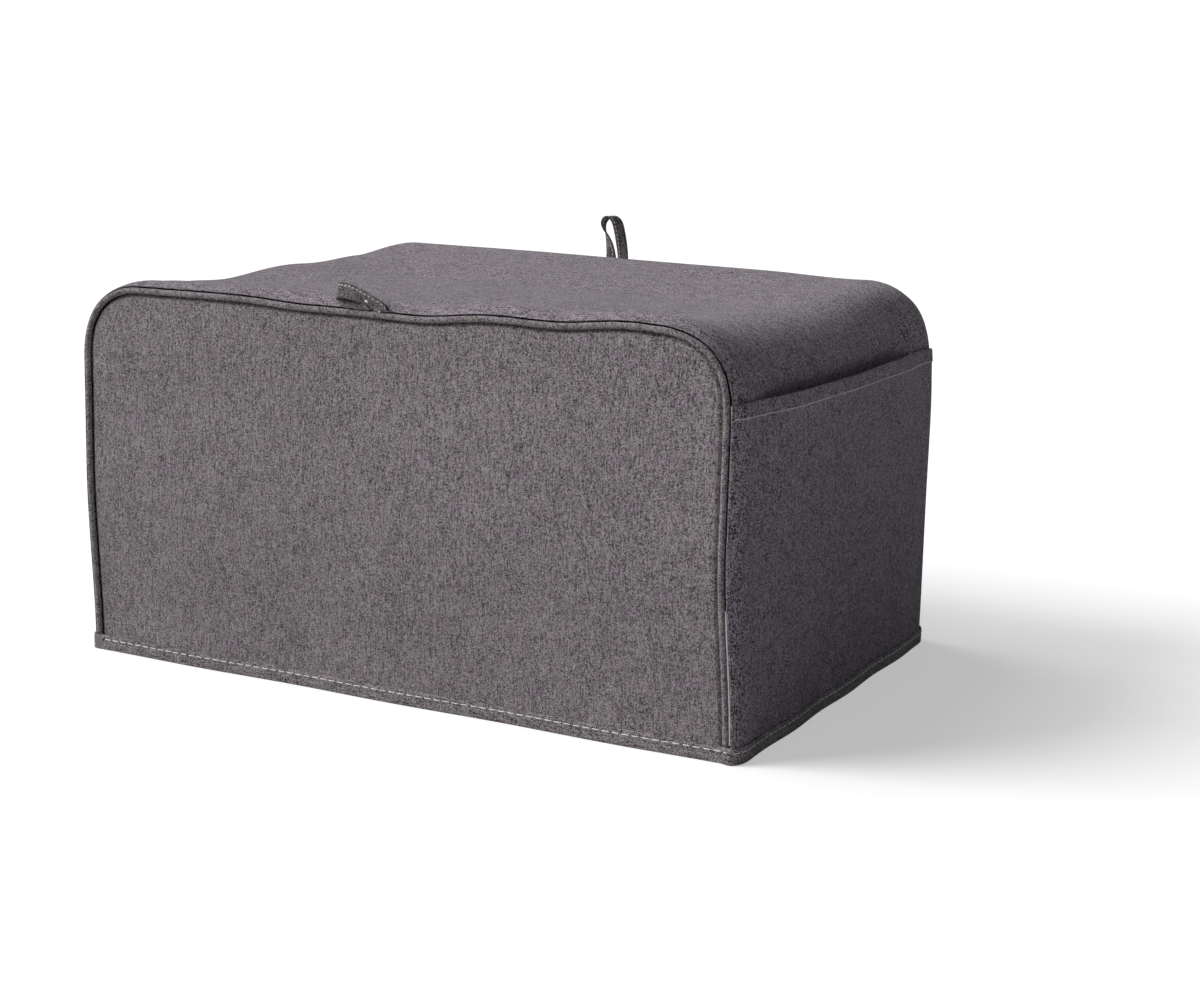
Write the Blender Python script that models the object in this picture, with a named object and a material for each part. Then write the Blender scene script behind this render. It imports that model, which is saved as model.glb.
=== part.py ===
"""Fitted cover for a toaster oven, sewn from heathered grey cloth.

Metres, +Z up. The origin is the middle of the footprint, on the surface that the hem meets.
The front panel faces -Y and the side pocket is on +X. Each piece is first laid out on a
straight rounded box, and settle() then gives it the sag and lean of the hung cloth.
"""

import math

import bmesh
import bpy
from mathutils import Vector

# Driving sizes of the finished cover
WIDTH = 0.4826
DEPTH = 0.3556
HEIGHT = 0.254

# Cloth and the gap left between touching pieces
CLOTH = 0.0016
POCKET_CLOTH = 0.0014
BINDING_CLOTH = 0.0010
GAP = 0.0003

# Rounded box under the folds
SIDE_ROOM = 0.0030
END_ROOM = 0.0020
SIDE_BULGE = 0.0018
HALF_WIDTH = WIDTH / 2 - SIDE_ROOM
HALF_DEPTH = DEPTH / 2 - END_ROOM
TOP = HEIGHT - 0.0020
CORNER = 0.050

# Piped seams at the front and back
PIPING_RADIUS = 0.0020
SEAM_INSET_SIDE = 0.0077
SEAM_INSET_TOP = 0.0054
SEAM_CORNER_CUT = 0.37
SEAM_ROLL = 0.0140

# Bound hem
HEM_HEIGHT = 0.0105
HEM_FOLD = 0.0008
CLOTH_FOOT = 0.0016

# Side pocket
POCKET_TOP = 0.2115
POCKET_HEM = 0.0080
POCKET_HEM_STEP = 0.0007
POCKET_GAPE = 0.0042
POCKET_GAPE_START = 0.085
POCKET_GAPE_FULL = 0.193
MOUTH_FRONT = -0.160
MOUTH_BACK = 0.150
MOUTH_EASE = 0.065
POCKET_HOLLOW = 0.0042

# Tape loops
TAPE_WIDTH = 0.0086
TAPE_THICK = 0.0013

# Mesh spacing
ARC_STEPS = 6
ROLL_STEPS = 3
TOP_STEPS = 8
TUBE_SIDES = 8
SIDE_HEIGHTS = (CLOTH_FOOT, 0.013, 0.050, 0.095, 0.140, 0.175, TOP - CORNER)
BODY_STEPS = (-0.130, -0.108, -0.092, -0.072, -0.040, 0.000, 0.045, 0.085, 0.115, 0.140)

# Colours and finish of the cloth
FRONT_GREY = (0.125, 0.112, 0.108, 1.0)
WRAP_GREY = (0.120, 0.106, 0.112, 1.0)
TRIM_GREY = (0.095, 0.086, 0.086, 1.0)
CLOTH_ROUGHNESS = 0.92

# Height of the top cloth above the box, from the front seam to the back one
TOP_LIFTS = (
    # depth, lift
    (-0.176, 0.0031),
    (-0.160, 0.0054),
    (-0.145, 0.0038),
    (-0.118, 0.0006),
    (-0.060, -0.0008),
    (0.010, -0.0008),
    (0.090, 0.0053),
    (0.160, 0.0107),
    (0.176, 0.0082),
)

# The back edge of the top falls away towards the pocket side
BACK_SLOPE = 0.0032

# The raised lip behind the front seam dies away towards both corners
LIP_LEFT = 0.23
LIP_RIGHT = 0.90
LIP_FADE_START = 0.09
LIP_FADE_FULL = 0.20
LIP_BACK_END = 0.100
LIP_FRONT_END = 0.145

# The top moves with its lifts above these heights, the walls below them stay put
LIFT_START = TOP - 0.055
LIFT_FULL = TOP - 0.008

# The foot of each end wall is drawn in by its binding, and the sides flare a little
HEM_DRAW_FRONT = 0.0092
HEM_DRAW_BACK = 0.0035
HEM_FLARE_SIDE = 0.0029
HEM_DRAW_REACH = 0.130
HEM_WAVE = 0.0007

# Soft dents and swells pushed into the cloth, each a round bump on one face
DENT_START = 0.012
DENT_FULL = 0.060
DENTS = (
    # face, along, height or depth, radius, push outward
    ("right", 0.112, 0.232, 0.022, -0.0042),
    ("right", 0.060, 0.205, 0.050, -0.0020),
    ("right", 0.150, 0.215, 0.028, -0.0030),
    ("right", -0.030, 0.120, 0.090, 0.0012),
    ("left", 0.030, 0.130, 0.090, 0.0010),
    ("front", -0.120, 0.110, 0.070, 0.0018),
    ("front", 0.090, 0.140, 0.080, 0.0022),
    ("front", -0.010, 0.215, 0.035, -0.0018),
    ("front", 0.010, 0.060, 0.060, 0.0010),
    ("back", 0.000, 0.130, 0.100, 0.0022),
    ("top", -0.195, -0.172, 0.032, 0.0014),
    ("top", -0.150, -0.172, 0.032, 0.0006),
    ("top", -0.060, -0.172, 0.032, -0.0028),
    ("top", -0.015, -0.172, 0.032, -0.0028),
    ("top", 0.030, -0.172, 0.032, -0.0038),
    ("top", 0.120, -0.172, 0.032, -0.0016),
    ("top", 0.165, -0.172, 0.032, 0.0027),
    ("top", -0.110, -0.135, 0.035, -0.0020),
    ("top", 0.030, -0.135, 0.030, -0.0016),
    ("top", 0.150, -0.125, 0.035, -0.0022),
    ("top", -0.185, -0.085, 0.045, -0.0016),
    ("top", -0.185, 0.000, 0.050, 0.0056),
    ("top", 0.170, 0.165, 0.035, -0.0016),
    ("top", -0.080, 0.090, 0.070, 0.0016),
    ("top", 0.110, 0.040, 0.060, -0.0016),
)

# Centre lines of the two tape loops, from the right foot over to the left one
BACK_LOOP = (
    # across, out, up, width across, width in depth, width up
    (0.0049, 0.0000, 0.0000, 1.00, 0.00, 0.00),
    (0.0044, -0.0001, 0.0080, 0.98, 0.12, 0.00),
    (0.0036, -0.0006, 0.0143, 0.94, 0.30, 0.00),
    (0.0026, -0.0012, 0.0207, 0.90, 0.42, 0.00),
    (0.0013, -0.0018, 0.0272, 0.85, 0.52, 0.00),
    (-0.0004, -0.0022, 0.0322, 0.78, 0.62, 0.04),
    (-0.0038, -0.0024, 0.0352, 0.62, 0.78, 0.05),
    (-0.0084, -0.0024, 0.0350, 0.30, 0.95, 0.00),
    (-0.0118, -0.0022, 0.0305, 0.05, 1.00, -0.04),
    (-0.0112, -0.0018, 0.0258, -0.26, 0.96, 0.00),
    (-0.0090, -0.0012, 0.0215, -0.58, 0.80, 0.00),
    (-0.0068, -0.0005, 0.0150, -0.88, 0.48, 0.00),
    (-0.0057, -0.0001, 0.0080, -0.97, 0.22, 0.00),
    (-0.0050, 0.0000, 0.0000, -1.00, 0.00, 0.00),
)
FRONT_LOOP = (
    # across, out, up, width across, width in depth, width up
    (0.0060, 0.0000, 0.0000, 1.20, 0.00, 0.00),
    (0.0044, 0.0004, 0.0034, 1.05, 0.04, 0.30),
    (-0.0018, 0.0010, 0.0080, 0.66, 0.16, 0.72),
    (-0.0090, 0.0014, 0.0122, 0.36, 0.22, 0.90),
    (-0.0159, 0.0012, 0.0144, 0.12, 0.24, 0.96),
    (-0.0218, 0.0004, 0.0149, 0.04, 0.24, 0.96),
    (-0.0262, -0.0018, 0.0143, 0.02, 0.24, 0.96),
    (-0.0274, -0.0050, 0.0130, 0.02, 0.26, 0.96),
    (-0.0250, -0.0080, 0.0114, 0.10, 0.30, 0.94),
    (-0.0198, -0.0078, 0.0088, 0.34, 0.36, 0.86),
    (-0.0132, -0.0044, 0.0054, 0.72, 0.28, 0.64),
    (-0.0084, -0.0008, 0.0024, 1.10, 0.05, 0.20),
    (-0.0060, 0.0000, 0.0000, 1.20, 0.00, 0.00),
)
LOOP_SMOOTHING = 2
BACK_LOOP_ACROSS = -0.0181
FRONT_LOOP_ACROSS = -0.0040


def clear_scene():
    """Remove what the open file holds, so that only the cover is left."""
    for item in list(bpy.data.objects):
        bpy.data.objects.remove(item, do_unlink=True)


def smooth_step(value, low, high):
    """0 below low, 1 above high, with a soft rise between."""
    share = min(max((value - low) / (high - low), 0.0), 1.0)
    return share * share * (3.0 - 2.0 * share)


def read_table(table, value):
    """Read a two-column table with a soft curve between its rows."""
    if value <= table[0][0]:
        return table[0][1]
    for (low, first), (high, second) in zip(table, table[1:]):
        if value <= high:
            return first + (second - first) * smooth_step(value, low, high)
    return table[-1][1]


def bump(across, up, radius):
    """A round swell of height 1 with a soft edge."""
    return math.exp(-(across * across + up * up) / (radius * radius))


def face_weight(face, x, y, z):
    """How far a point belongs to one face of the box, and its two places on that face."""
    if face == "top":
        return smooth_step(z, TOP - 0.8 * CORNER, TOP - 0.3 * CORNER), x, y
    if face in ("left", "right"):
        out = x if face == "right" else -x
        return smooth_step(out, HALF_WIDTH - 0.8 * CORNER, HALF_WIDTH - 0.24 * CORNER), y, z
    out = y if face == "back" else -y
    return smooth_step(out, HALF_DEPTH - SEAM_ROLL, HALF_DEPTH - PIPING_RADIUS), x, z


OUTWARD = {
    "right": Vector((1, 0, 0)),
    "left": Vector((-1, 0, 0)),
    "front": Vector((0, -1, 0)),
    "back": Vector((0, 1, 0)),
    "top": Vector((0, 0, 1)),
}


def lip_fade(x, y):
    """Share of the front lip's lift that is lost towards the two corners."""
    lost = (1.0 - LIP_LEFT) * smooth_step(-x, LIP_FADE_START, LIP_FADE_FULL)
    lost += (1.0 - LIP_RIGHT) * smooth_step(x, LIP_FADE_START, LIP_FADE_FULL)
    return lost * smooth_step(-y, LIP_BACK_END, LIP_FRONT_END)


def settle(point):
    """Move a point of the straight rounded box to its place in the hung cloth."""
    x, y, z = point
    left_right = math.copysign(1.0, x) * smooth_step(abs(x), HALF_WIDTH / 2, HALF_WIDTH)
    front_back = math.copysign(1.0, y) * smooth_step(abs(y), 0.0, HALF_DEPTH)
    lift = read_table(TOP_LIFTS, y) * (1.0 - lip_fade(x, y))
    lift -= BACK_SLOPE * (x / HALF_WIDTH) * max(front_back, 0.0)
    near_hem = 1.0 - smooth_step(z, 0.0, HEM_DRAW_REACH)
    swell = math.sin(math.pi * z / TOP) * math.cos(0.5 * math.pi * y / HALF_DEPTH)
    wave_x = HEM_WAVE * math.sin(y * 62.0 + 0.8)
    wave_y = HEM_WAVE * math.sin(x * 41.0 + 1.4)
    hem_draw = HEM_DRAW_FRONT if y < 0 else HEM_DRAW_BACK
    moved = Vector((
        x + left_right * (SIDE_BULGE * swell + (HEM_FLARE_SIDE + wave_x) * near_hem),
        y - front_back * (hem_draw - wave_y) * near_hem,
        z + lift * smooth_step(z, LIFT_START, LIFT_FULL),
    ))
    off_hem = smooth_step(z, DENT_START, DENT_FULL)
    for face, along, across, radius, push in DENTS:
        weight, first, second = face_weight(face, x, y, z)
        strength = weight * off_hem * push * bump(first - along, second - across, radius)
        moved += OUTWARD[face] * strength
    return moved


def seam_inset(normal_x, normal_z):
    """How far inside the outline the piped seam runs, a little less round the corners."""
    corner = 1.0 - SEAM_CORNER_CUT * 4.0 * (normal_x * normal_z) ** 2
    return (SEAM_INSET_SIDE * normal_x ** 2 + SEAM_INSET_TOP * normal_z ** 2) * corner


def outline():
    """Stations up the left side, over the top and down the right: x, z and the way out."""
    stations = [(-HALF_WIDTH, height, -1.0, 0.0) for height in SIDE_HEIGHTS]
    for step in range(1, ARC_STEPS + 1):
        angle = math.pi - 0.5 * math.pi * step / ARC_STEPS
        stations.append(corner_station(-1.0, angle))
    for step in range(1, TOP_STEPS):
        reach = HALF_WIDTH - CORNER
        stations.append((-reach + 2.0 * reach * step / TOP_STEPS, TOP, 0.0, 1.0))
    for step in range(ARC_STEPS):
        angle = 0.5 * math.pi - 0.5 * math.pi * step / ARC_STEPS
        stations.append(corner_station(1.0, angle))
    stations += [(HALF_WIDTH, height, 1.0, 0.0) for height in reversed(SIDE_HEIGHTS)]
    return stations


def corner_station(side, angle):
    """One station on a rounded upper corner."""
    out_x = math.cos(angle)
    out_z = math.sin(angle)
    x = side * (HALF_WIDTH - CORNER) + CORNER * out_x
    return (x, TOP - CORNER + CORNER * out_z, out_x, out_z)


def depth_rows():
    """Rows of the wrap panel: place in depth, and share of the seam inset that is left."""
    rows = []
    for step in range(ROLL_STEPS + 1):
        angle = 0.5 * math.pi * step / ROLL_STEPS
        rows.append((-HALF_DEPTH + SEAM_ROLL * (1.0 - math.cos(angle)), 1.0 - math.sin(angle)))
    back_roll = [(-place, share) for place, share in reversed(rows)]
    return rows + [(place, 0.0) for place in BODY_STEPS] + back_roll


def wrap_point(station, row, outward=0.0):
    """A point of the wrap panel, or of a layer that lies outward of it."""
    x, z, out_x, out_z = station
    place, share = row
    inset = (seam_inset(out_x, out_z) - PIPING_RADIUS - GAP) * share
    facing = (1.0 - share) * outward
    forward = share * outward * math.copysign(1.0, place)
    return Vector((x + (facing - inset) * out_x, place + forward, z + (facing - inset) * out_z))


def cloth_material(name, colour):
    """Plain matt cloth."""
    material = bpy.data.materials.new(name)
    material.use_nodes = True
    shader = material.node_tree.nodes["Principled BSDF"]
    shader.inputs["Base Color"].default_value = colour
    shader.inputs["Roughness"].default_value = CLOTH_ROUGHNESS
    shader.inputs["Metallic"].default_value = 0.0
    return material


def add_object(name, form, colour):
    """Put a finished bmesh in the scene with its own material."""
    bmesh.ops.recalc_face_normals(form, faces=form.faces)
    mesh = bpy.data.meshes.new(name)
    form.to_mesh(mesh)
    form.free()
    mesh.shade_smooth()
    piece = bpy.data.objects.new(name, mesh)
    bpy.context.scene.collection.objects.link(piece)
    mesh.materials.append(cloth_material(name + "_cloth", colour))
    return piece


def add_shell(name, outer, inner, colour):
    """A cloth sheet as one closed solid, from the grids of its two faces."""
    form = bmesh.new()
    faces = []
    for grid in (outer, inner):
        faces.append([[form.verts.new(point) for point in row] for row in grid])
    rows = len(outer)
    columns = len(outer[0])
    for layer, verts in enumerate(faces):
        for i in range(rows - 1):
            for j in range(columns - 1):
                ring = (verts[i][j], verts[i][j + 1], verts[i + 1][j + 1], verts[i + 1][j])
                form.faces.new(ring if layer == 0 else tuple(reversed(ring)))
    rim = [(0, j) for j in range(columns - 1)]
    rim += [(i, columns - 1) for i in range(rows - 1)]
    rim += [(rows - 1, j) for j in range(columns - 1, 0, -1)]
    rim += [(i, 0) for i in range(rows - 1, 0, -1)]
    for (i, j), (k, m) in zip(rim, rim[1:] + rim[:1]):
        form.faces.new((faces[0][i][j], faces[1][i][j], faces[1][k][m], faces[0][k][m]))
    return add_object(name, form, colour)


def add_sweep(name, rings, colour, closed):
    """A solid through a row of rings: closed on itself, or capped at both ends."""
    form = bmesh.new()
    verts = [[form.verts.new(point) for point in ring] for ring in rings]
    pairs = list(zip(verts, verts[1:]))
    if closed:
        pairs.append((verts[-1], verts[0]))
    for first, second in pairs:
        for i in range(len(first)):
            j = (i + 1) % len(first)
            form.faces.new((first[i], first[j], second[j], second[i]))
    if not closed:
        form.faces.new(verts[0])
        form.faces.new(tuple(reversed(verts[-1])))
    return add_object(name, form, colour)


def mouth_width(place):
    """Share of the pocket's gape along its mouth, none at the two seams."""
    opened = smooth_step(place, MOUTH_FRONT, MOUTH_FRONT + MOUTH_EASE)
    return opened * (1.0 - smooth_step(place, MOUTH_BACK - MOUTH_EASE, MOUTH_BACK))


def mouth_rise(height):
    """Share of the pocket's gape at a height, all of it in the upper part."""
    return smooth_step(height, POCKET_GAPE_START, POCKET_GAPE_FULL)


def side_hollow(station, row):
    """How far the right side falls in behind the pocket's mouth."""
    if station[2] <= 0.0:
        return 0.0
    fall = 1.0 - smooth_step(station[1], POCKET_TOP, LIFT_FULL)
    return POCKET_HOLLOW * mouth_width(row[0]) * mouth_rise(station[1]) * fall


def add_wrap_panel():
    """One strip that makes the left side, the top and the right side."""
    grids = []
    for layer in (0.0, -CLOTH):
        grid = []
        for station in outline():
            line = []
            for row in depth_rows():
                line.append(settle(wrap_point(station, row, layer - side_hollow(station, row))))
            grid.append(line)
        grids.append(grid)
    add_shell("wrap_panel", grids[0], grids[1], WRAP_GREY)


def end_columns():
    """Columns of the front and back panels: place across and height of the seam edge."""
    columns = []
    for x, z, out_x, out_z in outline():
        if z < TOP - CORNER - GAP:
            continue
        inset = seam_inset(out_x, out_z) + PIPING_RADIUS + GAP
        columns.append((x - inset * out_x, z - inset * out_z))
    return columns


def add_end_panel(name, side):
    """The front or back panel, cut to the rounded outline inside the piping."""
    faces = []
    for depth in (HALF_DEPTH, HALF_DEPTH - CLOTH):
        grid = []
        for x, top in end_columns():
            heights = [low / SIDE_HEIGHTS[-1] * top for low in SIDE_HEIGHTS[1:]]
            heights = [CLOTH_FOOT] + heights
            grid.append([settle(Vector((x, side * depth, height))) for height in heights])
        faces.append(grid)
    add_shell(name, faces[0], faces[1], FRONT_GREY)


def add_piping(name, side):
    """The covered cord in the seam round a front or back panel, ending on the hem."""
    rings = []
    for x, z, out_x, out_z in outline():
        inset = seam_inset(out_x, out_z)
        height = max(z, HEM_HEIGHT + GAP + HEM_FOLD)
        ring = []
        for step in range(TUBE_SIDES):
            angle = 2.0 * math.pi * (step + 0.5) / TUBE_SIDES
            out = PIPING_RADIUS * math.cos(angle) - inset
            depth = HALF_DEPTH + PIPING_RADIUS * math.sin(angle)
            ring.append(settle(Vector((x + out * out_x, side * depth, height + out * out_z))))
        rings.append(ring)
    add_sweep(name, rings, TRIM_GREY, closed=False)


def pocket_heights():
    """Rows of the pocket: its height, and whether it lies in the doubled upper edge."""
    fold = POCKET_TOP - POCKET_HEM
    rise = [(height, False) for height in SIDE_HEIGHTS if height < fold - POCKET_HEM / 2]
    return rise + [(fold - POCKET_HEM_STEP, False), (fold, True), (POCKET_TOP, True)]


def pocket_layer(extra):
    """One face of the pocket, a given height off the side panel."""
    grid = []
    for height, doubled in pocket_heights():
        step = POCKET_HEM_STEP if doubled and extra > 0.0 else 0.0
        lean = math.asin(max(height - (TOP - CORNER), 0.0) / CORNER)
        station = corner_station(1.0, lean) if lean > 0.0 else (HALF_WIDTH, height, 1.0, 0.0)
        line = []
        for row in depth_rows():
            gape = POCKET_GAPE * mouth_width(row[0]) * mouth_rise(height)
            off = GAP + gape + extra + step
            line.append(settle(wrap_point(station, row, off)))
        grid.append(line)
    return grid


def add_side_pocket():
    """A flat patch pocket over the right side, open along its hemmed upper edge."""
    add_shell("side_pocket", pocket_layer(POCKET_CLOTH), pocket_layer(0.0), WRAP_GREY)


def hem_path():
    """The foot of the walls seen from above, with the cloth that lies outside it."""
    columns = end_columns()
    under_pocket = GAP + POCKET_CLOTH
    right = (HALF_WIDTH, CLOTH_FOOT, 1.0, 0.0)
    left = (-HALF_WIDTH, CLOTH_FOOT, -1.0, 0.0)
    path = [(Vector((x, -HALF_DEPTH)), 0.0) for x, _ in columns]
    path += [(wrap_point(right, row).xy, under_pocket) for row in depth_rows()]
    path += [(Vector((x, HALF_DEPTH)), 0.0) for x, _ in reversed(columns)]
    path += [(wrap_point(left, row).xy, 0.0) for row in reversed(depth_rows())]
    return path


def path_normals(points):
    """Ways out of a closed plan line, lengthened so that offset runs stay parallel."""
    normals = []
    for before, point, after in zip(points[-1:] + points[:-1], points, points[1:] + points[:1]):
        first = (point - before).normalized()
        second = (after - point).normalized()
        way = (first + second).normalized()
        stretch = 1.0 / max(way.dot(first), 0.5)
        normals.append(Vector((way.y, -way.x)) * stretch)
    return normals


def add_hem_binding():
    """A strip folded round the raw foot of every wall, resting on the surface."""
    path = hem_path()
    points = [point for point, _ in path]
    rings = []
    for (point, extra), out in zip(path, path_normals(points)):
        slot_out = GAP + extra
        slot_in = -CLOTH - GAP
        face_out = slot_out + BINDING_CLOTH
        face_in = slot_in - BINDING_CLOTH
        section = (
            (face_out - HEM_FOLD, 0.0),
            (face_out, HEM_FOLD),
            (face_out, HEM_HEIGHT),
            (slot_out, HEM_HEIGHT),
            (slot_out, CLOTH_FOOT - GAP),
            (slot_in, CLOTH_FOOT - GAP),
            (slot_in, HEM_HEIGHT),
            (face_in, HEM_HEIGHT),
            (face_in, HEM_FOLD),
            (face_in + HEM_FOLD, 0.0),
        )
        ring = []
        for offset, height in section:
            place = point + out * offset
            ring.append(settle(Vector((place.x, place.y, height))))
        rings.append(ring)
    add_sweep("hem_binding", rings, TRIM_GREY, closed=True)


def smooth_rows(table, rounds):
    """Round a coarse table by cutting its corners, keeping its two ends."""
    rows = [Vector(row) for row in table]
    for _ in range(rounds):
        cut = [rows[0]]
        for first, second in zip(rows, rows[1:]):
            cut.append(first.lerp(second, 0.25))
            cut.append(first.lerp(second, 0.75))
        rows = cut + [rows[-1]]
    return rows


def loop_foot(across, side):
    """Where a loop leaves the top seam: just outside the piping, on the wrap panel's edge."""
    height = TOP - SEAM_INSET_TOP + PIPING_RADIUS + 2 * GAP
    off_wrap = Vector((0, side * (GAP + TAPE_THICK / 2), 0))
    return settle(Vector((across, side * HALF_DEPTH, height))) + off_wrap


def add_loop(name, table, across, side):
    """A loop of folded tape, both ends sewn side by side into a top seam."""
    foot = loop_foot(across, side)
    rows = smooth_rows(table, LOOP_SMOOTHING)
    centres = [foot + Vector((row[0], side * row[1], row[2])) for row in rows]
    last = len(rows) - 1
    rings = []
    for i, centre in enumerate(centres):
        run = centres[min(i + 1, last)] - centres[max(i - 1, 0)]
        wide = Vector(rows[i][3:6])
        thick = run.cross(wide).normalized()
        ring = []
        for u, v in ((-1, -1), (1, -1), (1, 1), (-1, 1)):
            ring.append(centre + wide * (u * TAPE_WIDTH / 2) + thick * (v * TAPE_THICK / 2))
        rings.append(ring)
    add_sweep(name, rings, TRIM_GREY, closed=False)


clear_scene()
add_wrap_panel()
add_end_panel("front_panel", -1.0)
add_end_panel("back_panel", 1.0)
add_piping("front_piping", -1.0)
add_piping("back_piping", 1.0)
add_side_pocket()
add_hem_binding()
add_loop("front_loop", FRONT_LOOP, FRONT_LOOP_ACROSS, -1.0)
add_loop("back_loop", BACK_LOOP, BACK_LOOP_ACROSS, 1.0)
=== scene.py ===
"""Fitted cover for a toaster oven, in heathered grey cloth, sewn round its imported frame."""

import math

import bpy
import numpy as np
from mathutils import Matrix, Vector


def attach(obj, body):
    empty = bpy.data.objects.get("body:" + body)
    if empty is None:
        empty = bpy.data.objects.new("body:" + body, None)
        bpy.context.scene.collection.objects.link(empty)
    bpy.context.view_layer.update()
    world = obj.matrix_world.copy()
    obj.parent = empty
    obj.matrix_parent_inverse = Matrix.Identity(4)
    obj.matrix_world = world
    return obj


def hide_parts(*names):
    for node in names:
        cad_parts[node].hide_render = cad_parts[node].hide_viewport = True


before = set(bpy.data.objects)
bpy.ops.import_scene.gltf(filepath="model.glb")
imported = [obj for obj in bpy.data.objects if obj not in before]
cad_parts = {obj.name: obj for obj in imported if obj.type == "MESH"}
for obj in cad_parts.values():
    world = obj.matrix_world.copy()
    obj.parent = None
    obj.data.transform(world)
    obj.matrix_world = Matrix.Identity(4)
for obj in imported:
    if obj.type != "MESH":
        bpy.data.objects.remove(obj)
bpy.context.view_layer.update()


# Wrap panel
# One long strip of heathered canvas makes the left side, the top and the right side.
# It is cut with its warp along the strip and hangs over the oven with a shallow sag.

WIDTH = 0.4826
DEPTH = 0.3556
HEIGHT = 0.254
CLOTH = 0.0016
GAP = 0.0003
SIDE_ROOM = 0.0030
END_ROOM = 0.0020
SIDE_BULGE = 0.0018
HALF_WIDTH = WIDTH / 2 - SIDE_ROOM
HALF_DEPTH = DEPTH / 2 - END_ROOM
TOP = HEIGHT - 0.0020
CORNER = 0.050
PIPING_RADIUS = 0.0020
SEAM_INSET_SIDE = 0.0077
SEAM_INSET_TOP = 0.0054
SEAM_CORNER_CUT = 0.37
SEAM_ROLL = 0.0140
CLOTH_FOOT = 0.0016
CLOTH_STEP = 0.0030
ROLL_STEPS = 9

# Pocket sizes that shape the side behind it
POCKET_TOP = 0.2115
MOUTH_FRONT = -0.160
MOUTH_BACK = 0.150
MOUTH_EASE = 0.065
POCKET_GAPE_START = 0.085
POCKET_GAPE_FULL = 0.193
POCKET_HOLLOW = 0.0070
HOLLOW_START = 0.0040
HOLLOW_LIP = 0.0160

GROOVE = (
    # how deep the cloth dives beside the piping, and the share of the seam inset there
    (0.0034, 1.00),
    (0.0020, 0.96),
    (0.0009, 0.87),
    (0.0003, 0.77),
    (0.0000, 0.66),
)

TOP_LIFTS = (
    # depth, height of the cloth above the box
    (-0.176, 0.0031),
    (-0.160, 0.0054),
    (-0.145, 0.0038),
    (-0.118, 0.0006),
    (-0.060, -0.0008),
    (0.010, -0.0008),
    (0.090, 0.0053),
    (0.160, 0.0107),
    (0.176, 0.0082),
)
BACK_SLOPE = 0.0032
LIP_LEFT = 0.23
LIP_RIGHT = 0.90
LIP_FADE_START = 0.09
LIP_FADE_FULL = 0.20
LIP_BACK_END = 0.100
LIP_FRONT_END = 0.145
LIFT_START = TOP - 0.055
LIFT_FULL = TOP - 0.008
HEM_DRAW_FRONT = 0.0092
HEM_DRAW_BACK = 0.0035
HEM_FLARE_SIDE = 0.0029
HEM_DRAW_REACH = 0.130
HEM_WAVE = 0.0007
DENT_START = 0.012
DENT_FULL = 0.060

HEM_WAVES_SIDE = 62.0
HEM_WAVES_END = 41.0
HEM_SHIFT_SIDE = 0.8
HEM_SHIFT_END = 1.4
FACE_START = 0.8
FACE_FULL_TOP = 0.3
FACE_FULL_SIDE = 0.24

OUTWARD = {
    "right": (1, 0, 0),
    "left": (-1, 0, 0),
    "front": (0, -1, 0),
    "back": (0, 1, 0),
    "top": (0, 0, 1),
}
DENTS = (
    # face, along, height or depth, radius, push outward
    ("right", 0.112, 0.232, 0.022, -0.0042),
    ("right", 0.060, 0.205, 0.050, -0.0020),
    ("right", 0.150, 0.215, 0.028, -0.0030),
    ("right", -0.030, 0.120, 0.090, 0.0012),
    ("left", 0.030, 0.130, 0.090, 0.0010),
    ("front", -0.120, 0.110, 0.070, 0.0018),
    ("front", 0.090, 0.140, 0.080, 0.0022),
    ("front", -0.010, 0.215, 0.035, -0.0018),
    ("front", 0.010, 0.060, 0.060, 0.0010),
    ("back", 0.000, 0.130, 0.100, 0.0022),
    ("top", -0.195, -0.172, 0.032, 0.0014),
    ("top", -0.150, -0.172, 0.032, 0.0006),
    ("top", -0.060, -0.172, 0.032, -0.0028),
    ("top", -0.015, -0.172, 0.032, -0.0028),
    ("top", 0.030, -0.172, 0.032, -0.0038),
    ("top", 0.120, -0.172, 0.032, -0.0016),
    ("top", 0.165, -0.172, 0.032, 0.0027),
    ("top", -0.110, -0.135, 0.035, -0.0020),
    ("top", 0.030, -0.135, 0.030, -0.0016),
    ("top", 0.150, -0.125, 0.035, -0.0022),
    ("top", -0.185, -0.085, 0.045, -0.0016),
    ("top", -0.185, 0.000, 0.050, 0.0056),
    ("top", 0.170, 0.165, 0.035, -0.0016),
    ("top", -0.080, 0.090, 0.070, 0.0016),
    ("top", 0.110, 0.040, 0.060, -0.0016),
)
FOLDS = (
    # face, start along and across, end along and across, half width, push outward
    ("top", -0.150, -0.128, -0.040, -0.122, 0.0060, -0.0015),
    ("top", 0.000, -0.126, 0.110, -0.119, 0.0060, -0.0014),
    ("top", -0.110, -0.108, 0.010, -0.104, 0.0055, 0.0010),
    ("top", 0.060, -0.104, 0.170, -0.100, 0.0060, -0.0012),
    ("top", -0.030, -0.092, 0.080, -0.086, 0.0080, -0.0010),
    ("top", 0.060, 0.110, 0.120, 0.150, 0.0065, -0.0013),
    ("top", 0.100, 0.095, 0.170, 0.140, 0.0060, 0.0011),
    ("top", -0.160, 0.060, -0.060, 0.072, 0.0090, -0.0010),
    ("right", -0.150, 0.190, -0.050, 0.222, 0.0090, 0.0008),
    ("right", 0.090, 0.214, 0.150, 0.236, 0.0070, -0.0018),
    ("right", 0.020, 0.216, 0.100, 0.240, 0.0080, -0.0012),
    ("right", 0.126, 0.204, 0.133, 0.236, 0.0055, -0.0034),
    ("front", 0.226, 0.010, 0.205, 0.060, 0.0050, -0.0008),
    ("left", -0.060, 0.190, 0.060, 0.206, 0.0090, -0.0010),
    ("back", -0.200, 0.020, -0.150, 0.080, 0.0070, -0.0010),
)


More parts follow.
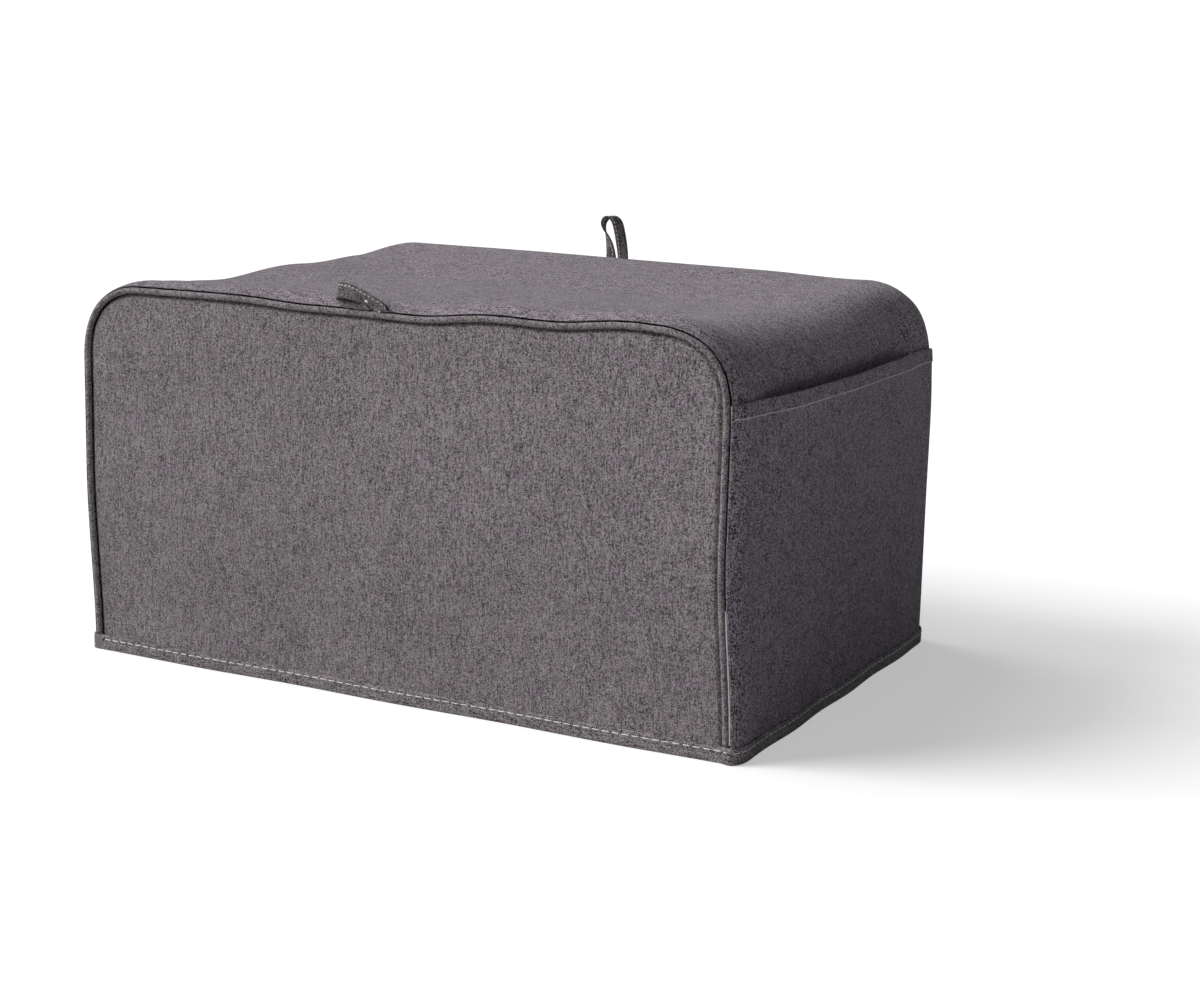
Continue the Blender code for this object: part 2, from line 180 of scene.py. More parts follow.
def smooth_step(value, low, high):
    """0 below low, 1 above high, with a soft rise between."""
    share = np.clip((value - low) / (high - low), 0.0, 1.0)
    return share * share * (3.0 - 2.0 * share)


def read_table(table, value):
    """Read a two-column table with a soft curve between its rows."""
    places, amounts = np.array(table).T
    value = np.clip(value, places[0], places[-1])
    index = np.clip(np.searchsorted(places, value) - 1, 0, len(places) - 2)
    share = smooth_step(value, places[index], places[index + 1])
    return amounts[index] + (amounts[index + 1] - amounts[index]) * share


def face_weight(face, x, y, z):
    """How far points belong to one face of the box, and their two places on that face."""
    if face == "top":
        return smooth_step(z, TOP - FACE_START * CORNER, TOP - FACE_FULL_TOP * CORNER), x, y
    if face in ("left", "right"):
        out = x if face == "right" else -x
        start, full = HALF_WIDTH - FACE_START * CORNER, HALF_WIDTH - FACE_FULL_SIDE * CORNER
        return smooth_step(out, start, full), y, z
    out = y if face == "back" else -y
    return smooth_step(out, HALF_DEPTH - SEAM_ROLL, HALF_DEPTH - PIPING_RADIUS), x, z


def fold_shape(first, second, row):
    """A soft trough or ridge along a short line, fading out at both ends."""
    along, across, end_along, end_across, half_width = row
    run = np.array((end_along - along, end_across - across))
    share = ((first - along) * run[0] + (second - across) * run[1]) / run.dot(run)
    share = np.clip(share, 0.0, 1.0)
    away = np.hypot(first - along - share * run[0], second - across - share * run[1])
    return np.sin(math.pi * share) * np.exp(-((away / half_width) ** 2))


def lip_fade(x, y):
    """Share of the front lip's lift that is lost towards the two corners."""
    lost = (1.0 - LIP_LEFT) * smooth_step(-x, LIP_FADE_START, LIP_FADE_FULL)
    lost = lost + (1.0 - LIP_RIGHT) * smooth_step(x, LIP_FADE_START, LIP_FADE_FULL)
    return lost * smooth_step(-y, LIP_BACK_END, LIP_FRONT_END)


def settle(points):
    """Move points of the straight rounded box to their places in the hung cloth."""
    x, y, z = np.moveaxis(points, -1, 0)
    left_right = np.sign(x) * smooth_step(np.abs(x), HALF_WIDTH / 2, HALF_WIDTH)
    front_back = np.sign(y) * smooth_step(np.abs(y), 0.0, HALF_DEPTH)
    lift = read_table(TOP_LIFTS, y) * (1.0 - lip_fade(x, y))
    lift = lift - BACK_SLOPE * (x / HALF_WIDTH) * np.maximum(front_back, 0.0)
    near_hem = 1.0 - smooth_step(z, 0.0, HEM_DRAW_REACH)
    swell = np.sin(math.pi * z / TOP) * np.cos(0.5 * math.pi * y / HALF_DEPTH)
    wave_x = HEM_WAVE * np.sin(y * HEM_WAVES_SIDE + HEM_SHIFT_SIDE)
    wave_y = HEM_WAVE * np.sin(x * HEM_WAVES_END + HEM_SHIFT_END)
    hem_draw = np.where(y < 0, HEM_DRAW_FRONT, HEM_DRAW_BACK)
    moved = np.stack([
        x + left_right * (SIDE_BULGE * swell + (HEM_FLARE_SIDE + wave_x) * near_hem),
        y - front_back * (hem_draw - wave_y) * near_hem,
        z + lift * smooth_step(z, LIFT_START, LIFT_FULL),
    ], axis=-1)
    off_hem = smooth_step(z, DENT_START, DENT_FULL)
    for face, along, across, radius, push in DENTS:
        weight, first, second = face_weight(face, x, y, z)
        away = (first - along) ** 2 + (second - across) ** 2
        strength = weight * off_hem * push * np.exp(-away / radius ** 2)
        moved += strength[..., None] * np.array(OUTWARD[face])
    for face, *row, push in FOLDS:
        weight, first, second = face_weight(face, x, y, z)
        strength = weight * off_hem * push * fold_shape(first, second, row)
        moved += strength[..., None] * np.array(OUTWARD[face])
    return moved


def seam_inset(out_x, out_z):
    """How far inside the outline the piped seam runs, a little less round the corners."""
    corner = 1.0 - SEAM_CORNER_CUT * 4.0 * (out_x * out_z) ** 2
    return (SEAM_INSET_SIDE * out_x ** 2 + SEAM_INSET_TOP * out_z ** 2) * corner


def evenly(low, high, step):
    """Places from low to high, at most a step apart."""
    return np.linspace(low, high, max(2, math.ceil(abs(high - low) / step) + 1))


def outline(step, foot=CLOTH_FOOT):
    """Stations up the left side, over the top and down the right: x, z and the way out."""
    rise = evenly(foot, TOP - CORNER, step)
    turn = evenly(math.pi, 0.5 * math.pi, step / CORNER)
    reach = evenly(-HALF_WIDTH + CORNER, 0.0, step)
    side = np.column_stack([np.full_like(rise, -HALF_WIDTH), rise, -np.ones_like(rise), 0 * rise])
    corner = np.column_stack([
        -HALF_WIDTH + CORNER + CORNER * np.cos(turn),
        TOP - CORNER + CORNER * np.sin(turn),
        np.cos(turn),
        np.sin(turn),
    ])
    top = np.column_stack([reach, np.full_like(reach, TOP), 0 * reach, np.ones_like(reach)])
    left = np.concatenate([side, corner[1:], top[1:]])
    right = left[-2::-1] * (-1, 1, -1, 1)
    return np.concatenate([left, right])


def depth_rows(step, groove=GROOVE):
    """Rows across the strip: place in depth, and the share of the seam inset that is left."""
    start = math.asin(1.0 - groove[-1][1]) if groove else 0.0
    angle = np.linspace(start, 0.5 * math.pi, ROLL_STEPS + 1)
    front = np.column_stack([
        -HALF_DEPTH + SEAM_ROLL * (1.0 - np.cos(angle)),
        1.0 - np.sin(angle),
    ])
    if groove:
        edge = np.array(groove[:-1]) + (-HALF_DEPTH, 0.0)
        front = np.concatenate([edge, front])
    body = evenly(front[-1, 0], -front[-1, 0], step)[1:-1]
    middle = np.column_stack([body, 0 * body])
    return np.concatenate([front, middle, front[::-1] * (-1, 1)])


def wrap_points(stations, rows, outward=0.0):
    """Points of the wrap panel, or of a layer that lies outward of it."""
    x, z, out_x, out_z = (column[:, None] for column in stations.T)
    place, share = rows.T
    inset = (seam_inset(out_x, out_z) - PIPING_RADIUS - GAP) * share
    reach = (1.0 - share) * outward - inset
    forward = share * outward * np.sign(place)
    return settle(np.stack([x + reach * out_x, place + forward + 0 * x, z + reach * out_z], -1))


def mouth_width(place):
    """Share of the pocket's gape along its mouth, none at the two seams."""
    opened = smooth_step(place, MOUTH_FRONT, MOUTH_FRONT + MOUTH_EASE)
    return opened * (1.0 - smooth_step(place, MOUTH_BACK - MOUTH_EASE, MOUTH_BACK))


def mouth_rise(height):
    """Share of the pocket's gape at a height, all of it in the upper part."""
    return smooth_step(height, POCKET_GAPE_START, POCKET_GAPE_FULL)


def side_hollow(stations, rows):
    """How far the right side falls in behind the pocket's mouth."""
    on_right = stations[:, 2] > 0.0
    height = stations[:, 1]
    past_mouth = smooth_step(height, POCKET_TOP - HOLLOW_START, POCKET_TOP + HOLLOW_LIP)
    fall = on_right * (1.0 - past_mouth) * mouth_rise(height)
    return POCKET_HOLLOW * fall[:, None] * mouth_width(rows[:, 0])


def run_along(points):
    """Length of cloth from the first of a row of points to each of them."""
    steps = np.linalg.norm(np.diff(points, axis=0), axis=-1)
    return np.concatenate([[0.0], np.cumsum(steps)])


def add_mesh(name, points, faces, material, cloth=None):
    """A smooth mesh piece that rides on the cover, with its cloth coordinates in metres."""
    mesh = bpy.data.meshes.new(name)
    mesh.from_pydata(points.tolist(), [], faces)
    if cloth is not None:
        corners = np.empty(len(mesh.loops), dtype=np.int32)
        mesh.loops.foreach_get("vertex_index", corners)
        layer = mesh.uv_layers.new(name="cloth")
        layer.uv.foreach_set("vector", cloth[corners].astype(np.float32).ravel())
    mesh.shade_smooth()
    mesh.materials.append(material)
    piece = bpy.data.objects.new(name, mesh)
    bpy.context.scene.collection.objects.link(piece)
    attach(piece, "root")
    return piece


def add_cloth(name, outer, inner, across, along, material):
    """A cloth sheet as one closed mesh, from the grids of its two faces."""
    rows, columns = outer.shape[:2]
    index = np.arange(rows * columns).reshape(rows, columns)
    quads = np.stack([index[:-1, :-1], index[:-1, 1:], index[1:, 1:], index[1:, :-1]], -1)
    quads = quads.reshape(-1, 4)
    rim = np.concatenate([index[0, :-1], index[:-1, -1], index[-1, :0:-1], index[:0:-1, 0]])
    after = np.roll(rim, -1)
    count = rows * columns
    edge = np.stack([rim, rim + count, after + count, after], -1)
    faces = np.concatenate([quads, quads[:, ::-1] + count, edge])
    coordinates = np.stack(np.broadcast_arrays(across, along), -1).reshape(-1, 2)
    points = np.concatenate([outer.reshape(-1, 3), inner.reshape(-1, 3)])
    if face_way(points, faces[0]).dot(points[faces[0, 0]] - points[faces[0, 0] + count]) < 0:
        faces = faces[:, ::-1]
    return add_mesh(name, points, faces.tolist(), material, np.tile(coordinates, (2, 1)))


def face_way(points, face):
    """The way that one face looks."""
    first, second, third = points[face[:3]]
    return np.cross(second - first, third - second)


def add_node(tree, kind, inputs=(), **settings):
    """Add a shader node, and fill its inputs with values or with other nodes' outputs."""
    node = tree.nodes.new(kind)
    for name, value in settings.items():
        setattr(node, name, value)
    for name, value in dict(inputs).items():
        if isinstance(value, bpy.types.NodeSocket):
            tree.links.new(value, node.inputs[name])
        else:
            node.inputs[name].default_value = value
    return node


def add_math(tree, operation, *values):
    """A math node on values or other nodes' outputs."""
    return add_node(tree, "ShaderNodeMath", dict(enumerate(values)), operation=operation).outputs[0]


YARN_PITCH = 0.00060
YARN_APART = 7.31
WARP_SLUB = 0.0090
WEFT_SLUB = 0.0060
WEFT_ON_TOP = -0.5
WARP_ON_TOP = 0.3
PATCH = 0.030
PATCH_STRETCH = 1.4
TINT_PATCH = 0.013
TINT_START = 0.40
TINT_FULL = 0.62
COOL_CAST = (0.97, 0.94, 1.00, 1.0)
COOLER_CAST = (0.97, 0.93, 1.00, 1.0)


def soft_noise(tree, across, along, detail=1.0):
    """Smooth noise read at two places that are already counted in marks."""
    place = add_node(tree, "ShaderNodeCombineXYZ", {0: across, 1: along})
    noise = add_node(tree, "ShaderNodeTexNoise", {
        "Vector": place.outputs[0],
        "Scale": 1.0,
        "Detail": detail,
        "Roughness": 0.65,
    }, noise_dimensions="2D")
    return add_math(tree, "SUBTRACT", noise.outputs["Fac"], 0.5)


def yarn_tone(tree, across, along, slub):
    """Light and dark stretches along each yarn, which its neighbours don't share."""
    yarn = add_math(tree, "FLOOR", add_math(tree, "DIVIDE", across, YARN_PITCH))
    apart = add_math(tree, "MULTIPLY", yarn, YARN_APART)
    return soft_noise(tree, apart, add_math(tree, "DIVIDE", along, slub), 3.0)


def yarn_round(tree, across):
    """The rounded section of the yarns, 0 between two of them and 1 on top of each."""
    return add_math(tree, "ABSOLUTE", add_math(
        tree, "SINE", add_math(tree, "MULTIPLY", across, math.pi / YARN_PITCH)
    ))


def make_weave():
    """Heathered plain weave: mottled warp and weft yarns, loose flecks and soft patches."""
    tree = bpy.data.node_groups.new("heathered_weave", "ShaderNodeTree")
    face = tree.interface
    face.new_socket("Cloth", in_out="INPUT", socket_type="NodeSocketVector")
    for name, value in (("Warp", 2.6), ("Weft", 0.9), ("Fleck", 1.0), ("Patch", 0.2)):
        socket = face.new_socket(name, in_out="INPUT", socket_type="NodeSocketFloat")
        socket.default_value = value
    for name in ("Tone", "Tint", "Relief"):
        face.new_socket(name, in_out="OUTPUT", socket_type="NodeSocketFloat")
    given = tree.nodes.new("NodeGroupInput")
    result = tree.nodes.new("NodeGroupOutput")
    parts = add_node(tree, "ShaderNodeSeparateXYZ", {0: given.outputs["Cloth"]})
    across, along = parts.outputs["X"], parts.outputs["Y"]

    warp = yarn_tone(tree, across, along, WARP_SLUB)
    warp = add_math(tree, "MULTIPLY", warp, given.outputs["Warp"])
    weft = yarn_tone(tree, along, across, WEFT_SLUB)
    weft = add_math(tree, "MULTIPLY", weft, given.outputs["Weft"])
    crossing = add_math(tree, "MULTIPLY", *(
        add_math(tree, "SINE", add_math(tree, "MULTIPLY", way, math.pi / YARN_PITCH))
        for way in (across, along)
    ))
    over = add_node(tree, "ShaderNodeMapRange", {
        "Value": crossing,
        "From Min": WEFT_ON_TOP,
        "From Max": WARP_ON_TOP,
    }).outputs["Result"]
    woven = add_node(tree, "ShaderNodeMix", {
        "Factor": over,
        "A": weft,
        "B": warp,
    }).outputs["Result"]
    crossing_place = add_node(tree, "ShaderNodeCombineXYZ", {
        axis: add_math(tree, "FLOOR", add_math(tree, "DIVIDE", way, YARN_PITCH))
        for axis, way in enumerate((across, along))
    })
    fleck = add_math(tree, "SUBTRACT", add_node(tree, "ShaderNodeTexWhiteNoise", {
        "Vector": crossing_place.outputs[0],
    }, noise_dimensions="2D").outputs["Value"], 0.5)
    patch = soft_noise(
        tree,
        add_math(tree, "DIVIDE", across, PATCH),
        add_math(tree, "DIVIDE", along, PATCH_STRETCH * PATCH),
        2.0,
    )
    tone = add_math(tree, "ADD", woven, 0.5)
    tone = add_math(tree, "MULTIPLY_ADD", fleck, given.outputs["Fleck"], tone)
    tone = add_math(tree, "MULTIPLY_ADD", patch, given.outputs["Patch"], tone)
    tree.links.new(tone, result.inputs["Tone"])
    tint = soft_noise(
        tree,
        add_math(tree, "DIVIDE", across, TINT_PATCH),
        add_math(tree, "DIVIDE", along, TINT_PATCH),
        2.0,
    )
    tree.links.new(add_math(tree, "ADD", tint, 0.5), result.inputs["Tint"])

    rounded = add_node(tree, "ShaderNodeMix", {
        "Factor": over,
        "A": yarn_round(tree, along),
        "B": yarn_round(tree, across),
    }).outputs["Result"]
    relief = add_math(tree, "MULTIPLY_ADD", tone, 0.5, rounded)
    tree.links.new(relief, result.inputs["Relief"])
    return tree


weave = make_weave()


def make_cloth(name, dark, light, cool, relief=0.00006, sheen=0.12, turned=0.0, **strengths):
    """A matt heathered cloth: dark and light yarns, with a cool cast in soft patches."""
    material = bpy.data.materials.new(name)
    material.use_nodes = True
    tree = material.node_tree
    shader = tree.nodes["Principled BSDF"]
    place = add_node(tree, "ShaderNodeUVMap", uv_map="cloth").outputs["UV"]
    if turned:
        place = add_node(tree, "ShaderNodeMapping", {
            "Vector": place,
            "Rotation": (0.0, 0.0, turned),
        }).outputs["Vector"]
    woven = add_node(tree, "ShaderNodeGroup", node_tree=weave)
    tree.links.new(place, woven.inputs["Cloth"])
    for socket, value in strengths.items():
        woven.inputs[socket].default_value = value
    tone = add_node(tree, "ShaderNodeMix", {
        "Factor": woven.outputs["Tone"],
        "A": dark,
        "B": light,
    }, data_type="RGBA")
    tint = add_node(tree, "ShaderNodeMapRange", {
        "Value": woven.outputs["Tint"],
        "From Min": TINT_START,
        "From Max": TINT_FULL,
    })
    colour = add_node(tree, "ShaderNodeMix", {
        "Factor": tint.outputs["Result"],
        "A": tone.outputs["Result"],
        "B": cool,
    }, data_type="RGBA", blend_type="MULTIPLY")
    bump = add_node(tree, "ShaderNodeBump", {
        "Height": woven.outputs["Relief"],
        "Strength": 1.0,
        "Distance": relief,
    })
    tree.links.new(colour.outputs["Result"], shader.inputs["Base Color"])
    tree.links.new(bump.outputs["Normal"], shader.inputs["Normal"])
    shader.inputs["Roughness"].default_value = 0.9
    shader.inputs["Specular IOR Level"].default_value = 0.25
    shader.inputs["Sheen Weight"].default_value = sheen
    shader.inputs["Sheen Roughness"].default_value = 0.5
    return material


wrap_cloth = make_cloth(
    "wrap_cloth",
    dark=(0.020, 0.017, 0.019, 1.0),
    light=(0.370, 0.328, 0.355, 1.0),
    cool=COOLER_CAST,
    Warp=4.5,
    Weft=2.0,
    Fleck=1.8,
)
wrap_stations = outline(CLOTH_STEP)
wrap_rows = depth_rows(CLOTH_STEP)
hollow = side_hollow(wrap_stations, wrap_rows)
wrap_panel = add_cloth(
    "wrap_panel_cloth",
    wrap_points(wrap_stations, wrap_rows, -hollow),
    wrap_points(wrap_stations, wrap_rows, -CLOTH - hollow),
    run_along(wrap_rows * (1.0, SEAM_INSET_SIDE)),
    run_along(wrap_stations[:, :2])[:, None],
    wrap_cloth,
)
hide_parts("wrap_panel")


# Front and back panels
# Two flat pieces of the same canvas, cut to the rounded outline with the warp upright.
# Each is sewn in along its curved edge, with the piping caught in the seam.

EDGE_TURN = 0.0028
EDGE_DROP_SIDE = 0.0016
EDGE_DROP_TOP = 0.0032
PUCKER_REACH = 0.0120
PUCKER_PUSH = 0.00035
PUCKER_WAVES = 520.0
PUCKER_DRIFT = 97.0
PUCKER_GROUPS = 61.0
PANEL_BODY = np.linspace(0.0, 0.96, 78)
PANEL_EDGE = np.linspace(0.965, 1.0, 9)
PANEL_FINE_COLUMNS = 5

panel_cloth = make_cloth(
    "panel_cloth",
    dark=(0.036, 0.031, 0.032, 1.0),
    light=(0.330, 0.300, 0.305, 1.0),
    cool=COOL_CAST,
)


def panel_columns(step):
    """Columns of an end panel: place across, and height of the seam edge."""
    stations = outline(step)
    stations = stations[stations[:, 1] >= TOP - CORNER]
    x, z, out_x, out_z = stations.T
    inset = seam_inset(out_x, out_z) + PIPING_RADIUS + GAP
    return np.column_stack([x - inset * out_x, z - inset * out_z])


def edge_distance(x, height, columns):
    """How far points of a panel are from its sewn edge, at its sides and over its top."""
    edge = columns[np.argsort(columns[:, 0])]
    lines = np.stack([x, height], -1)[..., None, :] - edge
    curved = np.linalg.norm(lines, axis=-1).min(axis=-1)
    straight = np.minimum(x - edge[0, 0], edge[-1, 0] - x)
    return np.where(height < edge[0, 1], np.minimum(straight, curved), curved)


def panel_face(side, depth, columns, heights):
    """One face of an end panel, turned in and lightly puckered along its seam."""
    x = columns[:, :1] + 0 * heights
    height = CLOTH_FOOT + (columns[:, 1:] - CLOTH_FOOT) * heights
    away = edge_distance(x, height, columns)
    risen = smooth_step(height, TOP - CORNER, TOP)
    drop = EDGE_DROP_SIDE + (EDGE_DROP_TOP - EDGE_DROP_SIDE) * risen
    turn = drop * (1.0 - smooth_step(away, 0.0, EDGE_TURN))
    run = np.where(np.abs(x) > HALF_WIDTH - CORNER, height + np.abs(x), np.abs(x))
    ripple = np.sin(run * PUCKER_WAVES + 1.7 * np.sin(run * PUCKER_DRIFT))
    ripple = ripple * np.sin(run * PUCKER_GROUPS + x * 9.0)
    pucker = PUCKER_PUSH * ripple * np.exp(-((away / PUCKER_REACH) ** 2))
    pucker = pucker * smooth_step(away, 0.0, EDGE_TURN)
    place = side * (depth - turn + pucker * smooth_step(height, DENT_START, DENT_FULL))
    return settle(np.stack([x, place, height], -1)), x, height


def add_end_panel(name, side):
    """The front or back panel, inside its piping."""
    columns = panel_columns(CLOTH_STEP)
    fine = panel_columns(CLOTH_STEP / 4)
    for end in (fine[:PANEL_FINE_COLUMNS], fine[-PANEL_FINE_COLUMNS:]):
        columns = np.concatenate([columns, end])
    columns = np.unique(columns.round(7), axis=0)
    columns = columns[np.argsort(columns[:, 0], kind="stable")]
    heights = np.concatenate([PANEL_BODY, PANEL_EDGE])[None]
    outer, x, height = panel_face(side, HALF_DEPTH, columns, heights)
    inner = panel_face(side, HALF_DEPTH - CLOTH, columns, heights)[0]
    piece = add_cloth(name + "_cloth", outer, inner, x, height, panel_cloth)
    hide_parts(name)
    return piece


front_panel = add_end_panel("front_panel", -1.0)
back_panel = add_end_panel("back_panel", 1.0)


# Piping
# A thin cord in a bias strip of the cover's own cloth stands in the seam round each end.
# It runs from the hem up one side, over the top and down to the hem again.

HEM_HEIGHT = 0.0105
HEM_FOLD = 0.0008
PIPING_STEP = 0.0020
PIPING_SIDES = 14
PIPING_LUMP = 0.03
PIPING_LUMPS = 310.0
PIPING_DRIFT = 71.0
BIAS = math.pi / 4

piping_cloth = make_cloth(
    "piping_cloth",
    dark=(0.020, 0.017, 0.018, 1.0),
    light=(0.340, 0.308, 0.312, 1.0),
    cool=COOL_CAST,
    turned=BIAS,
)


def add_sweep(name, rings, material, cloth, closed=False):
    """A mesh through a row of rings: closed on itself, or capped at both ends."""
    stations, sides = rings.shape[:2]
    index = np.arange(stations * sides).reshape(stations, sides)
    after = np.roll(index, -1, axis=1)
    following = np.roll(index, -1, axis=0), np.roll(after, -1, axis=0)
    last = stations if closed else stations - 1
    quads = np.stack([index, after, following[1], following[0]], -1)[:last].reshape(-1, 4)
    faces = quads.tolist()
    if not closed:
        faces += [index[0, ::-1].tolist(), index[-1].tolist()]
    points = rings.reshape(-1, 3)
    middle = rings[0].mean(axis=0)
    if face_way(points, quads[0]).dot(points[quads[0, 0]] - middle) < 0:
        faces = [face[::-1] for face in faces]
    return add_mesh(name, points, faces, material, cloth.reshape(-1, 2))


def add_piping(name, side):
    """The covered cord in the seam round a front or back panel, ending on the hem."""
    stations = outline(PIPING_STEP, HEM_HEIGHT + GAP + HEM_FOLD)
    x, z, out_x, out_z = (column[:, None] for column in stations.T)
    run = run_along(stations[:, :2])[:, None]
    angle = 2.0 * math.pi * np.arange(PIPING_SIDES) / PIPING_SIDES
    lumps = np.sin(run * PIPING_LUMPS + 2.0 * np.sin(run * PIPING_DRIFT))
    radius = PIPING_RADIUS * (1.0 - PIPING_LUMP + PIPING_LUMP * lumps)
    out = radius * np.cos(angle) - seam_inset(out_x, out_z)
    depth = HALF_DEPTH + radius * np.sin(angle)
    rings = settle(np.stack([x + out * out_x, side * depth, z + out * out_z], -1))
    cloth = np.stack(np.broadcast_arrays(angle * PIPING_RADIUS, run), -1)
    piece = add_sweep(name + "_cloth", rings, piping_cloth, cloth)
    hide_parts(name)
    return piece


front_piping = add_piping("front_piping", -1.0)
back_piping = add_piping("back_piping", 1.0)


# Side pocket
# A flat patch of thinner canvas lies over the right side, caught in both piped seams.
# Its upper edge is folded over once and stitched, and stands a little open.

POCKET_CLOTH = 0.0014
POCKET_HEM = 0.0080
POCKET_HEM_STEP = 0.0007
POCKET_GAPE = 0.0042

pocket_cloth = make_cloth(
    "pocket_cloth",
    dark=(0.020, 0.017, 0.020, 1.0),
    light=(0.350, 0.308, 0.345, 1.0),
    cool=COOLER_CAST,
    Warp=3.4,
    Weft=1.8,
    Fleck=1.6,
)


def pocket_points(heights, rows, off, doubled=0.0):
    """Points a given way off the right side, under or over the pocket's cloth."""
    lean = np.arcsin(np.maximum(heights - (TOP - CORNER), 0.0) / CORNER)
    stations = np.column_stack([
        HALF_WIDTH - CORNER + CORNER * np.cos(lean),
        heights,
        np.cos(lean),
        np.sin(lean),
    ])
    gape = POCKET_GAPE * mouth_rise(heights)[:, None] * mouth_width(rows[:, 0])
    return wrap_points(stations, rows, GAP + gape + off + doubled)


def pocket_step(heights):
    """Extra height of the doubled cloth in the pocket's hem."""
    fold = POCKET_TOP - POCKET_HEM
    return POCKET_HEM_STEP * smooth_step(heights, fold - POCKET_HEM_STEP, fold)[:, None]


pocket_fold = POCKET_TOP - POCKET_HEM
pocket_heights = np.unique(np.concatenate([
    evenly(CLOTH_FOOT, pocket_fold - POCKET_HEM_STEP, CLOTH_STEP),
    evenly(pocket_fold - POCKET_HEM_STEP, pocket_fold, POCKET_HEM_STEP / 4),
    evenly(pocket_fold, POCKET_TOP, CLOTH_STEP / 3),
]).round(7))
pocket_rows = depth_rows(CLOTH_STEP)
side_pocket = add_cloth(
    "side_pocket_cloth",
    pocket_points(pocket_heights, pocket_rows, POCKET_CLOTH, pocket_step(pocket_heights)),
    pocket_points(pocket_heights, pocket_rows, 0.0),
    run_along(pocket_rows * (1.0, SEAM_INSET_SIDE)),
    pocket_heights[:, None],
    pocket_cloth,
)
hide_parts("side_pocket")


# Hem binding
# A narrow strip of the same cloth is folded round the raw foot of every wall.
# Its two edges are caught by one row of stitches, and its fold stands on the worktop.

BINDING_CLOTH = 0.0010
BINDING_STEP = 0.0025
BINDING_WAVE = 0.00035
BINDING_WAVES = 83.0
BINDING_GROUPS = 31.0
BINDING_BEVEL = 0.0003
BINDING_ROUND = 0.0006
BINDING_INNER_DROP = 0.0001

binding_cloth = make_cloth(
    "binding_cloth",
    dark=(0.020, 0.017, 0.018, 1.0),
    light=(0.350, 0.318, 0.322, 1.0),
    cool=COOL_CAST,
)


def hem_path(step):
    """The foot of the walls from above: its points, the cloth outside it, and the ways out."""
    columns = panel_columns(step)
    columns = columns[np.argsort(columns[:, 0], kind="stable")]
    across = evenly(columns[0, 0], columns[-1, 0], step)
    front = np.column_stack([across, np.full_like(across, -HALF_DEPTH)])
    rows = depth_rows(step, groove=())
    place, share = rows.T
    inset = (SEAM_INSET_SIDE - PIPING_RADIUS - GAP) * share
    right = np.column_stack([HALF_WIDTH - inset, place])
    points = np.concatenate([front, right, front[::-1] * (1, -1), right[::-1] * (-1, 1)])
    under = np.zeros(len(points))
    under[len(front):len(front) + len(right)] = GAP + POCKET_CLOTH
    before = points - np.roll(points, 1, axis=0)
    after = np.roll(points, -1, axis=0) - points
    before = before / np.linalg.norm(before, axis=1)[:, None]
    after = after / np.linalg.norm(after, axis=1)[:, None]
    way = before + after
    way = way / np.linalg.norm(way, axis=1)[:, None]
    stretch = 1.0 / np.maximum((way * before).sum(axis=1), 0.5)
    out = np.column_stack([way[:, 1], -way[:, 0]]) * stretch[:, None]
    return points, under, out


def hem_points(path, out, offset, height):
    """Points off the foot of the walls, at an offset outward and a height."""
    place = path[:, None] + out[:, None] * offset[..., None]
    return settle(np.concatenate([place, height[..., None]], axis=-1))


path, under, ways = hem_path(BINDING_STEP)
run = run_along(path)[:, None]
slot_out = GAP + under[:, None]
slot_in = np.full_like(slot_out, -CLOTH - GAP)
face_out = slot_out + BINDING_CLOTH
face_in = slot_in - BINDING_CLOTH
wave = BINDING_WAVE * np.sin(run * BINDING_WAVES) * np.sin(run * BINDING_GROUPS + 0.6)
section = (
    # offset from the wall, and height
    (face_out - HEM_FOLD, 0.0),
    (face_out - 0.3 * HEM_FOLD, 0.3 * HEM_FOLD),
    (face_out, HEM_FOLD),
    (face_out, 0.35 * HEM_HEIGHT),
    (face_out, 0.70 * HEM_HEIGHT),
    (face_out, HEM_HEIGHT - BINDING_ROUND + wave),
    (face_out - BINDING_BEVEL, HEM_HEIGHT + wave),
    (slot_out, HEM_HEIGHT - BINDING_INNER_DROP + wave),
    (slot_out, CLOTH_FOOT - GAP),
    (slot_in, CLOTH_FOOT - GAP),
    (slot_in, HEM_HEIGHT),
    (face_in, HEM_HEIGHT),
    (face_in, 0.5 * HEM_HEIGHT),
    (face_in, HEM_FOLD),
    (face_in + 0.3 * HEM_FOLD, 0.3 * HEM_FOLD),
    (face_in + HEM_FOLD, 0.0),
)
offsets = np.concatenate([offset + 0 * run for offset, _ in section], axis=1)
heights = np.concatenate([height + 0 * run for _, height in section], axis=1)
binding_rings = hem_points(path, ways, offsets, heights)
around = run_along(np.column_stack([offsets[0], heights[0]]))
binding_uv = np.stack(np.broadcast_arrays(around[None], run), -1)
hem_binding = add_sweep("hem_binding_cloth", binding_rings, binding_cloth, binding_uv, closed=True)
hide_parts("hem_binding")
